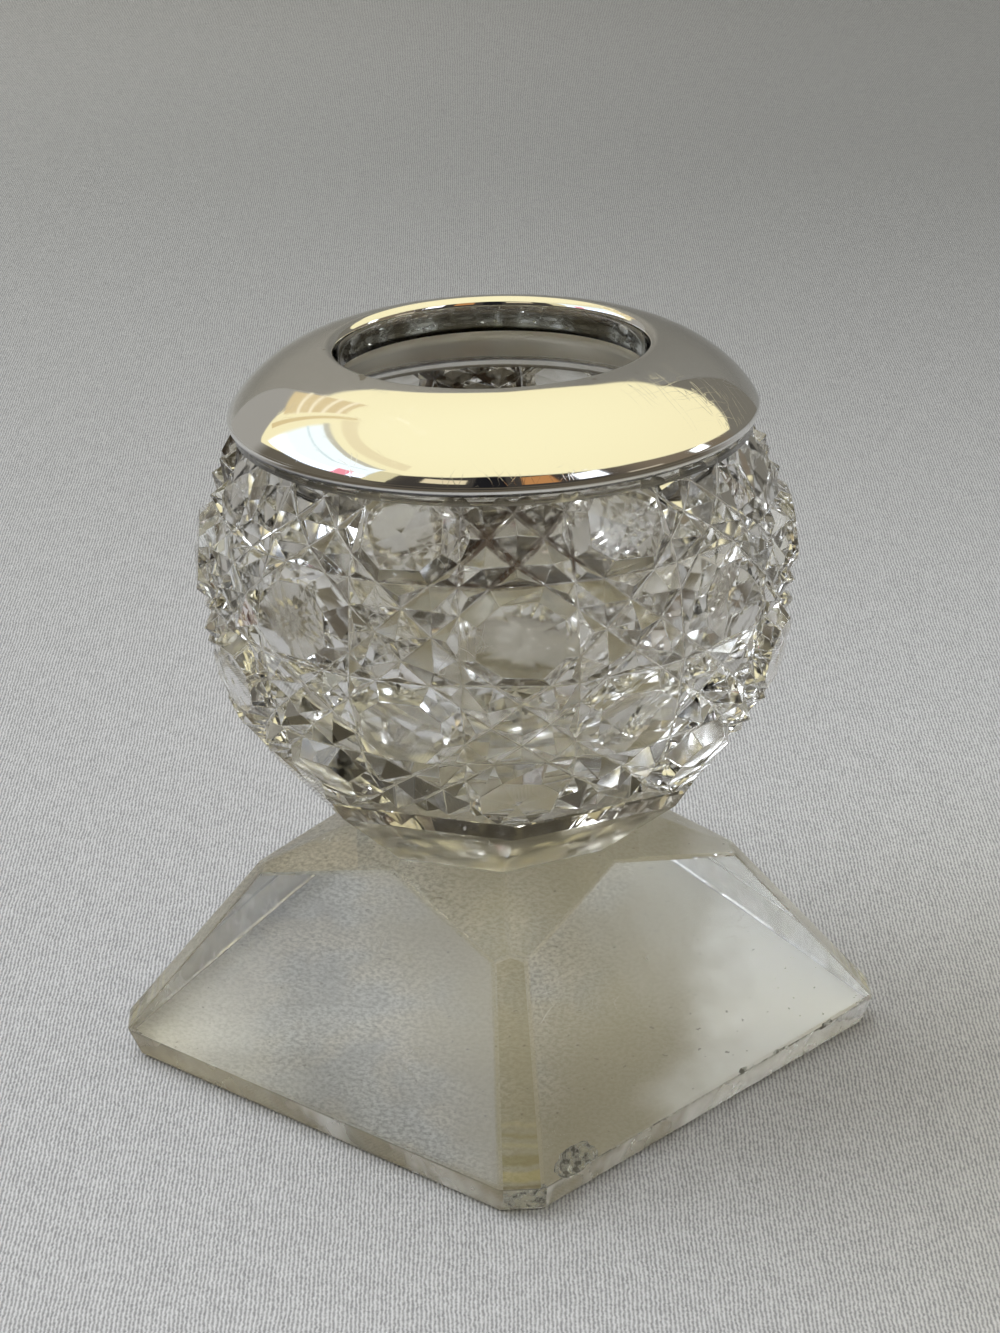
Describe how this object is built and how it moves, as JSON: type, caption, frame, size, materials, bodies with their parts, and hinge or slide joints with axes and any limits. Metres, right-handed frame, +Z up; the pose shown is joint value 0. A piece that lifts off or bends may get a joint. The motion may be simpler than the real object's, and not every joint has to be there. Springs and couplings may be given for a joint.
{
  "type": "match striker",
  "caption": "Clear cut-glass globe on a square faceted foot, with a domed silver collar around its mouth; holds matches, which are struck on the cut glass.",
  "frame": {"origin": "centre of the square foot's underside", "axes": "+Z up along the axis of the globe and collar, +X and +Y along the foot's sides"},
  "size_m": [0.0598, 0.0598, 0.075],
  "materials": {
    "cut_glass": "clear polished lead glass with a faint warm grey tint, cut facets, and brown dirt left in the upper grooves",
    "polished_silver": "mirror-polished silver with fine scratches and small dints"
  },
  "bodies": {
    "root": {"glass_body": "cut_glass", "silver_collar": "polished_silver"}
  },
  "joints": []
}
